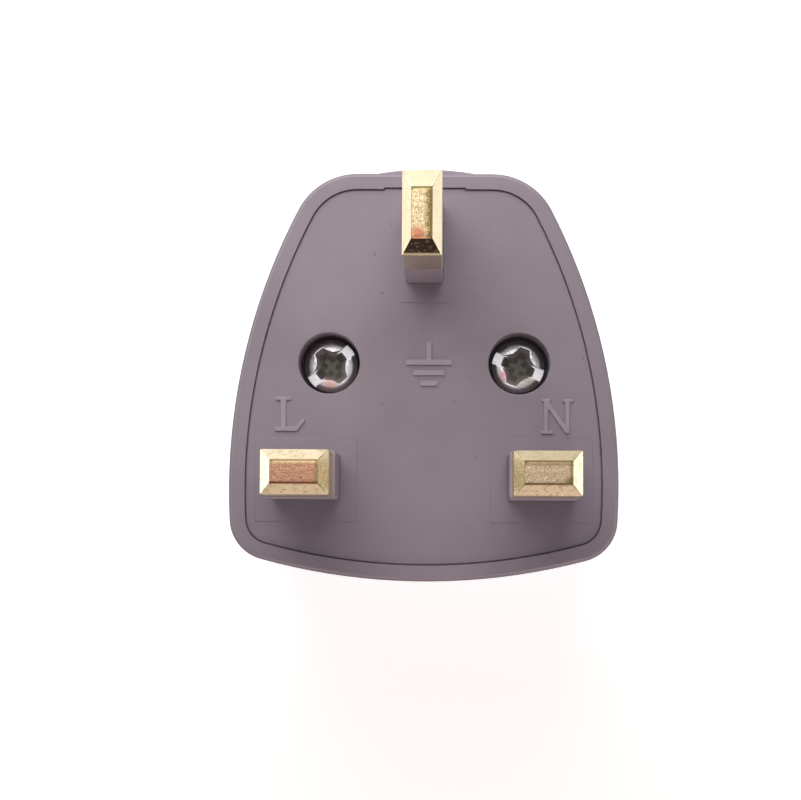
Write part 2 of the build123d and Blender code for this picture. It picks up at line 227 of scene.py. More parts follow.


# %% [markdown]
# The body and its cover are moulded in one mauve-grey plastic. Its mould was spark eroded, which
# leaves a fine matt grain, and the pigment is a little uneven, so large soft clouds shift the
# colour by a few percent. Dust specks and a few light scratches make it a used thing. The larger
# specks on the cover are listed one by one, each by its x, its y and its radius.

# %% Body plastic
PLASTIC_LIGHT = from_screen(152, 140, 150)
PLASTIC_DARK = from_screen(145, 131, 141)
PLASTIC_PINK = from_screen(149, 132, 138)
PLASTIC_PALE_TOP = from_screen(182, 171, 178)
SPECK = from_screen(84, 70, 68)
SCRATCH = from_screen(158, 148, 156)
COVER_SPECKS = (
    (-3.2, 13.5, 0.10), (-4.0, 6.9, 0.12), (-1.5, 3.9, 0.08), (-3.9, -3.6, 0.11), (5.0, -8.6, 0.10),
    (4.8, 2.2, 0.09), (15.0, 0.8, 0.12), (-17.0, -10.9, 0.09), (-15.8, -6.0, 0.08),
)
PAD_HEIGHT = 0.08
COVER_TOP = corners("rear_cover")[1].z
COVER_FACE = COVER_TOP - PAD_HEIGHT
PALE_TOP_START = COVER_TOP + 0.01
PALE_TOP_END = COVER_TOP + 0.14
PALE_TOP_FADE = 0.04
PLASTIC_IOR = 1.48


def body_plastic(name, specks=()):
    """Matt moulded plastic with grain, soft clouds of colour, dust specks and paler tops on the raised
    marks.
    """
    bench = FinishBench(name)
    clouds = bench.noise(9.0, 3.0)
    colour = bench.blend(bench.steps(clouds, 0.35, 0.65), PLASTIC_DARK, PLASTIC_LIGHT)
    colour = bench.blend(bench.steps(bench.noise(4.5, 2.0), 0.55, 0.75) * 0.5, colour, PLASTIC_PINK)
    grain = bench.noise(0.22, 3.0)
    colour = bench.blend((grain - 0.5) * 0.3 + 0.1, colour, PLASTIC_DARK)
    dust = bench.steps(bench.noise(0.45, 1.0), 0.79, 0.80) * 0.4
    colour = bench.blend(dust, colour, SPECK)
    for x, y, radius in specks:
        colour = bench.blend(bench.near((x, y, COVER_TOP), radius) * 0.8, colour, SPECK)
    wipes = bench.noise(0.35, 2.0, stretch=(0.06, 1.6, 1.0))
    colour = bench.blend(bench.steps(wipes, 0.74, 0.82) * 0.2, colour, SCRATCH)
    # Points at the height of the upper part of the raised marks are made paler.
    pale_tops = bench.steps(bench.z, PALE_TOP_START * MM, (PALE_TOP_START + PALE_TOP_FADE) * MM)
    pale_tops = pale_tops * (1 - bench.steps(bench.z, (PALE_TOP_END - PALE_TOP_FADE) * MM, PALE_TOP_END * MM))
    colour = bench.blend(pale_tops * 0.45, colour, PLASTIC_PALE_TOP)
    relief = bench.bump(grain, 0.012, under=bench.bump(bench.noise(1.8, 2.0), 0.02))
    rough = 0.47 + bench.noise(3.0, 2.0) * 0.16
    return bench.finish(Base_Color=colour, Roughness=rough, Normal=relief, IOR=PLASTIC_IOR)


housing_finish = body_plastic("body_plastic_matt")
cover_finish = body_plastic("cover_plastic_matt", COVER_SPECKS)
print("specks placed by hand on the cover:", len(COVER_SPECKS))

# %% [markdown]
# The sleeves round the pins are of the same plastic, but they come from a polished mould and are
# smoother. Near their outer rims the colour is painted paler: a painted highlight round each pin.

# %% Sleeve plastic
SLEEVE_RIM_HIGHLIGHT = from_screen(178, 166, 172)


def sleeve_plastic(name, top):
    """Smooth plastic with a painted highlight that grows paler towards its outer rim, at height top in
    millimetres.
    """
    bench = FinishBench(name)
    colour = bench.blend(bench.noise(2.5, 3.0), PLASTIC_DARK, PLASTIC_LIGHT)
    # Painted highlight: the last half millimetre below the outer rim is made paler.
    rim = bench.steps(bench.z, (top - 0.5) * MM, (top - 0.05) * MM)
    colour = bench.blend(rim * 0.6, colour, SLEEVE_RIM_HIGHLIGHT)
    relief = bench.bump(bench.noise(0.3, 2.0), 0.006)
    rough = 0.36 + bench.noise(1.5, 2.0) * 0.12
    return bench.finish(Base_Color=colour, Roughness=rough, Normal=relief, IOR=PLASTIC_IOR)


# %% [markdown]
# The pins are brass bar. Their flanks are bright, the bevels were milled and keep small pits and
# rub marks, and the cut end faces stayed rough and stained. Bevels facing down, and those facing
# the other pins, get a painted dark reflection; bevels facing up are darkened by a set amount for
# each pin. One finish does all of it, by the height of a point below the tip of its pin and by the
# way that it faces.

# %% Pin brass
BRASS_BRIGHT = from_screen(250, 236, 206)
BRASS_WARM = from_screen(238, 218, 178)
BRASS_TARNISH_AND_REFLECTION = from_screen(160, 149, 118)
BRASS_SHADE = from_screen(74, 58, 45)


def end_stains_and_reflections(bench, pin):
    """The colour of a pin's cut end face: a stained band, painted reflections along its top and low
    edges, stained spots, and its tears.
    """
    tears = bench.noise(0.09, 4.0, stretch=pin["grain"])
    end = bench.blend(bench.steps(tears, 0.28, 0.72), pin["end_dark"], pin["end_light"])
    middle_x, middle_y = pin["centre"]
    across = (bench.x - middle_x * MM) / MM
    along = (bench.y - middle_y * MM) / MM
    # The right band is a stain; the top and low bands are painted reflections along those edges.
    bands = ((across, *pin["right_band"]), (along, *pin["top_edge_reflection"]), (0 - along, *pin["low_edge_reflection"]))
    for way, start, width, amount, ragged, mark_colour in bands:
        band = bench.steps(way + (tears - 0.5) * ragged, start, start + width)
        end = bench.blend(band * amount, end, mark_colour)
    for x, y, radius, mark_colour in pin["spots"]:
        spot = bench.near((middle_x + x, middle_y + y, pin["tip"]), radius, soft=0.6)
        end = bench.blend(spot * bench.steps(tears, 0.30, 0.60), end, mark_colour)
    return end, tears


def pin_brass(name, pin):
    """Bright brass with painted reflections on bevels and end edges, and a stained, torn end face. The
    pin says where its tip is and how it looks.
    """
    bench = FinishBench(name)
    tip = pin["tip"]
    foot = tip - pin["bevel_depth"]
    on_bevel = bench.steps(bench.z, (foot - 0.05) * MM, (foot + 0.05) * MM)
    near_tip = bench.steps(bench.z, (tip - 0.11) * MM, (tip - 0.07) * MM)
    on_end = near_tip * bench.steps(bench.facing[2], 0.75, 0.9)
    colour = bench.blend(bench.noise(1.6, 3.0), BRASS_BRIGHT, BRASS_WARM)
    blotch = bench.steps(bench.noise(0.5, 4.0), 0.50, 0.68) * on_bevel * pin["rubs"]
    colour = bench.blend(blotch, colour, BRASS_TARNISH_AND_REFLECTION)
    # Bevels facing up are darkened towards the tarnish colour by a set amount for each pin.
    top_bevel = bench.steps(bench.facing[1], 0.35, 0.6) * on_bevel
    colour = bench.blend(top_bevel * pin["top_bevel_darkening"], colour, BRASS_TARNISH_AND_REFLECTION)
    # Bevels facing down, above their lowest rim, get a painted dark reflection, flecked a little
    # lighter.
    above_rim = bench.steps(bench.z, (foot + 0.12) * MM, (foot + 0.28) * MM)
    low_bevel = bench.steps(0 - bench.facing[1], 0.35, 0.6) * above_rim * pin["low_bevel_reflection"]
    # Bevels facing the other pins get a painted dark reflection of them, broken up by a mottle.
    inner_bevel = bench.steps(bench.facing[0] * pin["inner_side"], 0.35, 0.6) * on_bevel
    inner_mottle = bench.noise(0.22, 4.0) * 0.5 + 0.4
    colour = bench.blend(inner_bevel * inner_mottle, colour, BRASS_TARNISH_AND_REFLECTION)
    specks = bench.steps(bench.noise(0.3, 4.0), 0.54, 0.68)
    colour = bench.blend(low_bevel * (1 - specks * 0.22), colour, BRASS_SHADE)
    end, tears = end_stains_and_reflections(bench, pin)
    colour = bench.blend(on_end, colour, end)
    rough = 0.2 + bench.noise(0.12, 2.0) * 0.1 + blotch * 0.14 + low_bevel * 0.2 + on_end * 0.22
    pits = bench.bump(bench.noise(0.3, 4.0) * on_bevel, 0.02, strength=0.5)
    relief = bench.bump(tears * on_end, 0.022, under=pits)
    return bench.finish(Base_Color=colour, Metallic=1.0, Roughness=rough, Normal=relief)


# %% [markdown]
# The contact jaws are stamped from thin rolled brass strip. It is smoother than the pins, a
# little browner, and it shows rolling lines and the first dull spots of tarnish.

# %% Contact brass
STRIP_LIGHT = from_screen(226, 196, 132)
STRIP_DARK = from_screen(196, 160, 92)
STRIP_DULL = from_screen(128, 98, 54)


def contact_brass(name):
    """Rolled brass strip with faint lines and dull spots."""
    bench = FinishBench(name)
    lines = bench.noise(0.12, 2.0, stretch=(1.0, 0.06, 1.0))
    colour = bench.blend(bench.noise(2.2, 3.0), STRIP_LIGHT, STRIP_DARK)
    spots = bench.steps(bench.noise(0.8, 4.0), 0.58, 0.72)
    colour = bench.blend(spots * 0.5, colour, STRIP_DULL)
    rough = 0.2 + lines * 0.12 + spots * 0.2
    relief = bench.bump(lines, 0.006)
    return bench.finish(Base_Color=colour, Metallic=1.0, Roughness=rough, Normal=relief)


# %% [markdown]
# The cover screws are zinc plated. The lands on their heads are polished and read white, while
# the recess turns dark and dull: painted shade, with grease and dust mottled in deep down. How
# deep a point lies below the top of the head, and how steep its face is, tell the two apart.

# %% Plated steel
SCREW_LENGTH = 12.0
HEAD_HEIGHT = 1.9
HEAD = 2.55
screw_low, screw_high = corners("cover_screws")
SCREW_SEAT = screw_low.z + SCREW_LENGTH
SCREW_TOP = SCREW_SEAT + HEAD_HEIGHT
SCREW_X = (screw_high.x - screw_low.x) / 2 - HEAD
SCREW_Y = (screw_low.y + screw_high.y) / 2
ZINC_LIGHT = from_screen(230, 227, 228)
ZINC_DARK = from_screen(194, 190, 193)
SHADE_AND_GREASE_FLOOR = from_screen(98, 98, 90)
SHADE_AND_GREASE_WALL = from_screen(192, 184, 182)
GREASE_DUST = from_screen(110, 104, 94)


def plated_steel(name, stains):
    """Zinc plate with painted shade and grease down inside the recess of the head, and a few tinted
    stains.
    """
    bench = FinishBench(name)
    mottle = bench.noise(0.45, 4.0)
    colour = bench.blend(mottle, ZINC_LIGHT, ZINC_DARK)
    # Painted shade with grease: deep points and steep faces turn dark, dull and less metallic.
    deep = 1 - bench.steps(bench.z, (SCREW_TOP - 0.80) * MM, (SCREW_TOP - 0.66) * MM)
    steep = 1 - bench.steps(bench.facing[2], 0.55, 0.85)
    down = bench.add("ShaderNodeMath", {"operation": "MAXIMUM"}, {0: deep, 1: steep})
    shade_and_grease = bench.blend(steep, SHADE_AND_GREASE_FLOOR, SHADE_AND_GREASE_WALL)
    shade_and_grease = bench.blend(mottle * deep, shade_and_grease, GREASE_DUST)
    colour = bench.blend(down, colour, shade_and_grease)
    for x, y, radius, mark_colour in stains:
        patch = bench.near((x, y, SCREW_TOP - 0.1), radius, soft=0.6) * (mottle * 0.7 + 0.2)
        colour = bench.blend(patch, colour, mark_colour)
    rough = 0.18 + mottle * 0.12 + down * 0.2
    relief = bench.bump(bench.noise(0.12, 3.0), 0.012)
    return bench.finish(Base_Color=colour, Metallic=1 - down * 0.8, Roughness=rough, Normal=relief)


# %% [markdown]
# Pieces are shaped as by hand, with the operators of edit mode. These few helpers open a piece
# for editing, pick its faces or edges by a test, and close it with its place in its mesh.

# %% Hands and tools


def only(piece):
    """Makes one piece the selected and active one."""
    if bpy.context.object and bpy.context.object.mode != "OBJECT":
        bpy.ops.object.mode_set(mode="OBJECT")
    bpy.ops.object.select_all(action="DESELECT")
    piece.select_set(True)
    bpy.context.view_layer.objects.active = piece


def edit(piece):
    """Opens a piece in edit mode."""
    only(piece)
    bpy.ops.object.mode_set(mode="EDIT")


def close():
    """Leaves edit mode."""
    bpy.ops.object.mode_set(mode="OBJECT")


def pick(piece, kind, test):
    """In edit mode, selects the vertices, edges or faces that pass a test, and counts them."""
    bpy.ops.mesh.select_mode(type=kind)
    bpy.ops.mesh.select_all(action="DESELECT")
    mesh = bmesh.from_edit_mesh(piece.data)
    mesh.normal_update()
    family = {"VERT": mesh.verts, "EDGE": mesh.edges, "FACE": mesh.faces}[kind]
    chosen = [item for item in family if test(item)]
    for item in chosen:
        item.select_set(True)
    mesh.select_flush_mode()
    bmesh.update_edit_mesh(piece.data)
    return len(chosen)


def modifier(piece, kind, **settings):
    """Adds a modifier, sets it up and applies it."""
    only(piece)
    change = piece.modifiers.new(kind.lower(), kind)
    for key, value in settings.items():
        setattr(change, key, value)
    bpy.ops.object.modifier_apply(modifier=change.name)


def settle(piece, finish, slot, *nodes, smooth=35.0):
    """Closes a piece: its place goes into its mesh, and it gets its shading, finish and body."""
    only(piece)
    bpy.ops.object.transform_apply(location=True, rotation=True, scale=True)
    bpy.ops.object.shade_smooth_by_angle(angle=math.radians(smooth))
    modifier(piece, "WEIGHTED_NORMAL", keep_sharp=True)
    piece.data.materials.clear()
    piece.data.materials.append(finish)
    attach(piece, "root")
    if nodes:
        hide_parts(*nodes)
    print(piece.name, "has", sum(len(face.vertices) - 2 for face in piece.data.polygons), "triangles")


# %% [markdown]
# The CAD shapes of the housing, cover, pins and sleeves are right, but every edge in them is a
# knife edge, and a moulded or milled edge never is: it catches a thin line of light. Each is
# copied, the copy's loose triangles are merged into one skin, and a fine bevel rounds its edges.

# %% Softened copies of the CAD pieces
WELD = 0.0002
FLAT_ANGLE = 0.15
SHARP_ANGLE = 24.0
HOLE_REACH = 3.3
MOUTH_ROUND = 0.12
SLACK = 0.01


def at_screw_hole(edge):
    """True for an edge on the cover's face at the mouth of a screw hole."""
    reach = max(
        math.hypot(abs(vertex.co.x) - SCREW_X * MM, vertex.co.y - SCREW_Y * MM) for vertex in edge.verts
    )
    level = max(abs(vertex.co.z - COVER_FACE * MM) for vertex in edge.verts)
    return reach < HOLE_REACH * MM and level < SLACK * MM


def softened(node, name, round_by, mouths=None):
    """A copy of a CAD piece whose edges are rounded by this many millimetres, its mouths by more."""
    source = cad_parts[node]
    piece = bpy.data.objects.new(name, source.data.copy())
    bpy.context.collection.objects.link(piece)
    edit(piece)
    bpy.ops.mesh.select_all(action="SELECT")
    bpy.ops.mesh.remove_doubles(threshold=WELD * MM)
    bpy.ops.mesh.dissolve_limited(angle_limit=math.radians(FLAT_ANGLE))
    if mouths:
        print(name, "has", pick(piece, "EDGE", mouths), "edges round its mouths")
        bpy.ops.mesh.bevel(offset=MOUTH_ROUND * MM, segments=3, affect="EDGES")
    close()
    modifier(
        piece, "BEVEL", width=round_by * MM, segments=2, limit_method="ANGLE",
        angle_limit=math.radians(SHARP_ANGLE), use_clamp_overlap=True, miter_outer="MITER_ARC",
    )
    return piece


housing = softened("front_housing", "housing_shell", 0.02)
settle(housing, housing_finish, "body_plastic", "front_housing")
cover = softened("rear_cover", "cover_plate", 0.02, mouths=at_screw_hole)
settle(cover, cover_finish, "cover_plastic", "rear_cover")

# %% [markdown]
# The sleeves are copied the same way. Their outer rim sits just below the bare brass, and a
# rounder edge there gives the thin pale line that rings each pin.

# %% Sleeves
for side in ("live", "neutral", "earth"):
    sleeve = softened(f"{side}_sleeve", f"sleeve_{side}", 0.08)
    sleeve_finish = sleeve_plastic(f"sleeve_plastic_{side}", corners(f"{side}_sleeve")[1].z)
    settle(sleeve, sleeve_finish, "sleeve_plastic", f"{side}_sleeve")

# %% [markdown]
# The pins get their milled edges and their own tint at the cut end: coppery pink on the live
# pin, sandy brown on the neutral pin and streaked gold on the earth pin. The bar was sheared, so
# the end face has sunk edges and is torn: two insets make the groove round it, a net of cuts
# divides the middle, and its corners are pushed up and down at random. The band at its right is
# a stain, and the bands along its top and low edges are painted reflections, olive above and dark
# below. A band is given by where it starts from the middle, how far it fades, its strength, how
# ragged it is and its colour, and a stain spot by its place from the middle, its radius and its
# colour.

# %% Pins
PIN_LOOKS = {
    "live": {
        "bevel_depth": 1.2, "grain": (0.6, 1.0, 1.0), "low_bevel_reflection": 0.0, "inner_side": 1,
        "rubs": 0.45, "top_bevel_darkening": 0.12,
        "end_light": from_screen(200, 156, 130), "end_dark": from_screen(140, 96, 72),
        "right_band": (1.70, 0.2, 0.6, 0.5, from_screen(136, 120, 80)),
        "top_edge_reflection": (0.66, 0.12, 0.7, 0.3, from_screen(186, 168, 124)),
        "low_edge_reflection": (0.84, 0.12, 0.95, 0.1, from_screen(84, 40, 24)),
        "spots": (),
    },
    "neutral": {
        "bevel_depth": 1.2, "grain": (0.7, 1.0, 1.0), "low_bevel_reflection": 0.0, "inner_side": -1,
        "rubs": 0.45, "top_bevel_darkening": 0.65,
        "end_light": from_screen(208, 186, 158), "end_dark": from_screen(136, 112, 84),
        "right_band": (1.75, 0.2, 0.6, 0.5, from_screen(116, 104, 62)),
        "top_edge_reflection": (0.56, 0.14, 0.7, 0.3, from_screen(130, 108, 74)),
        "low_edge_reflection": (0.84, 0.12, 0.95, 0.1, from_screen(84, 60, 32)),
        "spots": ((1.9, -0.8, 0.45, from_screen(104, 92, 48)),),
    },
    "earth": {
        "bevel_depth": 1.5, "grain": (1.0, 0.5, 1.0), "low_bevel_reflection": 1.0, "inner_side": 0,
        "rubs": 0.12, "top_bevel_darkening": 0.0,
        "end_light": from_screen(226, 206, 168), "end_dark": from_screen(144, 122, 84),
        "right_band": (0.36, 0.25, 0.95, 2.4, from_screen(104, 86, 48)),
        "top_edge_reflection": (1.72, 0.2, 0.7, 0.5, from_screen(130, 118, 76)),
        "low_edge_reflection": (2.26, 0.1, 0.7, 0.2, from_screen(104, 70, 48)),
        "spots": ((-0.35, -2.0, 0.58, from_screen(182, 94, 78)),),
    },
}
END_CUT = 0.17
END_GROOVE = 0.05
END_SLOPE = 0.13
END_SINK = 0.07
END_DROP = 0.015
END_TEAR = 0.035
END_RIM = 0.02
END_SLACK = 0.004


def tear_end(pin, tip):
    """Sinks the edges of a pin's end face and roughens its middle."""
    def on_top(face):
        return face.normal.z > 0.999 and face.calc_center_median().z > (tip - SLACK) * MM

    edit(pin)
    pick(pin, "FACE", on_top)
    bpy.ops.mesh.inset(thickness=END_GROOVE * MM, depth=-END_SINK * MM)
    bpy.ops.mesh.inset(thickness=END_SLOPE * MM, depth=(END_SINK - END_DROP) * MM)
    middle = [vertex.co.copy() for vertex in bmesh.from_edit_mesh(pin.data).verts if vertex.select]
    low = Vector([min(point[axis] for point in middle) for axis in range(3)])
    high = Vector([max(point[axis] for point in middle) for axis in range(3)])
    level = high.z

    def inside(item):
        spot = item.co if hasattr(item, "co") else item.calc_center_median()
        return abs(spot.z - level) < END_SLACK * MM

    for axis, normal in ((0, (1, 0, 0)), (1, (0, 1, 0))):
        count = int((high[axis] - low[axis]) / (END_CUT * MM))
        for step in range(1, count):
            pick(pin, "FACE", lambda face: inside(face) and face.normal.z > 0.99)
            place = low[axis] + (high[axis] - low[axis]) * step / count
            bpy.ops.mesh.bisect(plane_co=(place, place, level), plane_no=normal)
    rim = END_RIM * MM
    pick(pin, "VERT", lambda vertex: inside(vertex) and all(
        low[axis] + rim < vertex.co[axis] < high[axis] - rim for axis in (0, 1)
    ))
    bpy.ops.transform.vertex_random(offset=END_TEAR * MM, uniform=0.0, normal=1.0, seed=7)
    close()


for side, look in PIN_LOOKS.items():
    low, high = corners(f"{side}_pin")
    look["tip"] = high.z
    look["centre"] = ((low.x + high.x) / 2, (low.y + high.y) / 2)
    pin = softened(f"{side}_pin", f"pin_{side}", 0.05)
    tear_end(pin, look["tip"])
    settle(pin, pin_brass(f"pin_brass_{side}", look), "pin_brass", f"{side}_pin")

# %% [markdown]
# The jaws inside the socket already have their bends, so they keep their CAD shape and only get
# the finish of rolled strip.

# %% Contact jaws
strip_finish = contact_brass("contact_brass_strip")
jaws = [thing for node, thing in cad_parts.items() if node.endswith("_jaw")]
for jaw in jaws:
    jaw.data.materials.clear()
    jaw.data.materials.append(strip_finish)
print("jaws of rolled strip:", len(jaws))

# %% [markdown]
# A screw is a turned thing: a disc is extruded upwards ring by ring, and each new ring is scaled
# to the next radius, as on a lathe. The threads are such rings too. The cross and the slot are
# then cut with two cutters, and a fine bevel takes the burr off.

# %% Screw blank
SCREW_STEPS = 64
SHANK = 1.45
ROOT = 1.12
PITCH = 1.1
POINT = 0.25
POINT_LENGTH = 1.6
NECK = 1.2
CROWN = 0.16
EDGE_HEIGHT = 0.62
EDGE_REACH = 0.52
EDGE_STEPS = 6
RUNOUT = 0.2
UNDERSIDE = 0.01
TIP = SCREW_SEAT - SCREW_LENGTH
THREAD_END = SCREW_SEAT - NECK
LAND = HEAD - EDGE_REACH


def next_ring(rise, height, ratio):
    """Extrudes the selected ring by a rise, up to a height, and scales it there."""
    bpy.ops.mesh.extrude_region_move(TRANSFORM_OT_translate={"value": (0, 0, rise * MM)})
    bpy.ops.transform.resize(value=(ratio, ratio, 1), center_override=(0, 0, height * MM))


def turned(name, profile):
    """A closed solid of revolution from (height, radius) pairs in millimetres."""
    bpy.ops.object.select_all(action="DESELECT")
    low, radius = profile[0]
    bpy.ops.mesh.primitive_circle_add(
        vertices=SCREW_STEPS, radius=radius * MM, fill_type="NGON", location=(0, 0, low * MM)
    )
    piece = bpy.context.object
    piece.name = name
    bpy.ops.object.transform_apply(location=True)
    edit(piece)
    bpy.ops.mesh.select_all(action="SELECT")
    for height, wanted in profile[1:]:
        next_ring(height - low, height, wanted / radius)
        low, radius = height, wanted
    bpy.ops.mesh.select_all(action="SELECT")
    bpy.ops.mesh.normals_make_consistent(inside=False)
    close()
    return piece


profile = [(TIP, POINT), (TIP + POINT_LENGTH, ROOT)]
height = TIP + POINT_LENGTH
while height + PITCH < THREAD_END:
    for share, radius in ((0.30, ROOT), (0.60, SHANK), (0.72, SHANK), (1, ROOT)):
        profile.append((height + share * PITCH, radius))
    height += PITCH
profile += [(THREAD_END, ROOT), (THREAD_END + RUNOUT, SHANK)]
profile += [(SCREW_SEAT, SHANK), (SCREW_SEAT + UNDERSIDE, HEAD)]
for part in range(EDGE_STEPS + 1):
    turn = math.radians(90 * part / EDGE_STEPS)
    edge_height = SCREW_TOP - CROWN - EDGE_HEIGHT * (1 - math.sin(turn))
    profile.append((edge_height, HEAD - EDGE_REACH * (1 - math.cos(turn))))
for part in range(1, EDGE_STEPS + 1):
    radius = LAND * (1 - part / (EDGE_STEPS + 0.5))
    profile.append((SCREW_TOP - CROWN * (radius / LAND) ** 2, radius))
blank = turned("screw_blank", profile)
print("screw blank:", len(profile), "rings of", SCREW_STEPS)

# %% [markdown]
# The cross cutter starts as a disc of 24 points. The points between the wings are pulled towards
# the middle, which gives the hollow flanks of the real recess, and the cutter narrows downwards.
# The flanks are pairs of an angle from the nearest wing and a scale for the points there, and the
# levels are pairs of a depth and a scale for the whole outline.

# %% Cut the cross and the slot
CROSS_REACH = 2.02
CROSS_DEPTH = 1.35
CROSS_RIM = 0.45
CROSS_ABOVE = 0.3
CROSS_FLANKS = ((30, 0.78), (45, 0.72), (15, 1.02))
CROSS_LEVELS = ((CROSS_RIM, 0.88), (CROSS_DEPTH, 0.50))
FLANK_ANGLE = 22
FLANK_TAPER = 0.62
SLOT_LENGTH = 7.0
SLOT_WIDTH = 1.2
SLOT_DEPTH = 0.6
CUTTER_HEIGHT = 2.0
BURR = 0.05


def quarter_angle(point):
    """How far a point lies from the nearest wing's middle line, in degrees."""
    turn = math.degrees(math.atan2(point.y, point.x)) % 90
    return min(turn, 90 - turn)


bpy.ops.object.select_all(action="DESELECT")
start = (0, 0, (SCREW_TOP + CROSS_ABOVE) * MM)
bpy.ops.mesh.primitive_circle_add(
    vertices=24, radius=CROSS_REACH * MM, fill_type="NGON", location=start
)
cross = bpy.context.object
bpy.ops.object.transform_apply(location=True)
edit(cross)
for wanted, ratio in CROSS_FLANKS:
    pick(cross, "VERT", lambda corner: abs(quarter_angle(corner.co) - wanted) < 4)
    bpy.ops.transform.resize(value=(ratio, ratio, 1), center_override=start)
bpy.ops.mesh.select_all(action="SELECT")
depth = -CROSS_ABOVE
for wanted, ratio in CROSS_LEVELS:
    next_ring(depth - wanted, SCREW_TOP - wanted, ratio)
    depth = wanted
floor = SCREW_TOP - CROSS_DEPTH
pick(cross, "VERT", lambda corner: (
    corner.co.z < (floor + SLACK) * MM and quarter_angle(corner.co) > FLANK_ANGLE
))
bpy.ops.transform.resize(value=(FLANK_TAPER, FLANK_TAPER, 1), center_override=(0, 0, floor * MM))
bpy.ops.mesh.select_all(action="SELECT")
bpy.ops.mesh.normals_make_consistent(inside=False)
close()

bpy.ops.object.select_all(action="DESELECT")
slot_middle = SCREW_TOP - SLOT_DEPTH + CUTTER_HEIGHT / 2
bpy.ops.mesh.primitive_cube_add(size=1, location=(0, 0, slot_middle * MM))
slot = bpy.context.object
slot.scale = (SLOT_LENGTH * MM, SLOT_WIDTH * MM, CUTTER_HEIGHT * MM)
bpy.ops.object.transform_apply(location=True, scale=True)
for cutter in (cross, slot):
    modifier(blank, "BOOLEAN", operation="DIFFERENCE", solver="EXACT", object=cutter)
    bpy.data.objects.remove(cutter, do_unlink=True)
modifier(
    blank, "BEVEL", width=BURR * MM, segments=2, limit_method="ANGLE",
    angle_limit=math.radians(40), use_clamp_overlap=True,
)
print("screw after cutting:", len(blank.data.polygons), "faces")

# %% [markdown]
# Both screws come from the one blank. Nobody lines screws up, so each copy is turned to the angle
# at which it was driven home.

# %% Two screws
COPPER_STAIN = from_screen(214, 146, 122)
PINK_STAIN = from_screen(216, 124, 134)
DULL_STAIN = from_screen(158, 142, 120)
STAINS = (
    (-SCREW_X - 0.06, SCREW_Y - 1.65, 0.62, COPPER_STAIN),
    (SCREW_X - 1.36, SCREW_Y - 0.95, 0.52, PINK_STAIN),
    (SCREW_X + 0.82, SCREW_Y - 1.54, 0.75, DULL_STAIN),
)
steel_finish = plated_steel("screw_steel_zinc", STAINS)
for name, x, turn in (("screw_live", -SCREW_X, 40.0), ("screw_neutral", SCREW_X, -20.5)):
    screw = bpy.data.objects.new(name, blank.data.copy())
    bpy.context.collection.objects.link(screw)
    screw.location = (x * MM, SCREW_Y * MM, 0)
    screw.rotation_euler = (0, 0, math.radians(turn))
    settle(screw, steel_finish, "screw_steel", "cover_screws", smooth=30.0)
bpy.data.objects.remove(blank, do_unlink=True)

# %% [markdown]
# The cover carries three raised marks: L and N beside their pins, and the usual earth sign below
# the earth pin. In the mould they are shallow engraved strokes with soft edges. Each stroke is a
# bar, the bars of one mark are fused by a voxel remesh, and smoothing rounds what is left.

# %% Raised marks
MARK_HEIGHT = 0.18
MARK_SINK = 0.10
MARK_GRAIN = 0.035


def stroke(start, end, width):
    """One straight bar between two points on the cover, in millimetres."""
    start, end = Vector(start), Vector(end)
    along = end - start
    middle = (start + end) / 2
    bpy.ops.object.select_all(action="DESELECT")
    bpy.ops.mesh.primitive_cube_add(
        size=1,
        location=(middle.x * MM, middle.y * MM, (COVER_FACE + (MARK_HEIGHT - MARK_SINK) / 2) * MM),
        rotation=(0, 0, math.atan2(along.y, along.x)),
        scale=(along.length * MM, width * MM, (MARK_HEIGHT + MARK_SINK) * MM),
    )
    return bpy.context.object


def mark(name, strokes):
    """Fuses strokes into one soft raised mark."""
    bars = [stroke(*each) for each in strokes]
    bpy.ops.object.select_all(action="DESELECT")
    for bar in bars:
        bar.select_set(True)
    bpy.context.view_layer.objects.active = bars[0]
    bpy.ops.object.join()
    piece = bars[0]
    piece.name = name
    only(piece)
    bpy.ops.object.transform_apply(location=True, rotation=True, scale=True)
    modifier(piece, "REMESH", mode="VOXEL", voxel_size=MARK_GRAIN * MM)
    modifier(piece, "SMOOTH", factor=0.5, iterations=12)
    settle(piece, cover_finish, "cover_plastic", smooth=60.0)


LETTER_L = (
    ((-14.05, -3.13), (-12.58, -3.13), 0.34), ((-13.30, -3.05), (-13.30, -6.05), 0.54),
    ((-14.06, -6.02), (-11.95, -6.02), 0.44), ((-12.10, -6.10), (-11.36, -5.10), 0.38),
)
LETTER_N = (
    ((11.53, -3.25), (11.53, -6.30), 0.40), ((13.56, -3.25), (13.56, -6.30), 0.40),
    ((11.56, -3.35), (13.52, -6.15), 0.44), ((11.13, -3.20), (11.98, -3.20), 0.30),
    ((13.03, -3.20), (14.13, -3.20), 0.30), ((11.03, -6.22), (12.18, -6.22), 0.30),
)
EARTH_X = 0.45
EARTH_LINE = 0.50
EARTH_BARS = ((0.35, 2.2), (-0.65, 1.5), (-1.65, 0.8))
EARTH_SIGN = [((EARTH_X, 2.35), (EARTH_X, 0.30), EARTH_LINE)]
for y, half in EARTH_BARS:
    EARTH_SIGN.append(((EARTH_X - half, y), (EARTH_X + half, y), EARTH_LINE))
mark("mark_live", LETTER_L)
mark("mark_neutral", LETTER_N)
mark("mark_earth", EARTH_SIGN)

# %% [markdown]
# The adapter stands on a pale table. The table glows for the camera, and a little less for shiny
# surfaces, so that it reads as white paper, and the shadow on it stays. Its front half is painted
# with a faint pink shade, in its colour and its glow, and that colour also throws pink up at the
# adapter.

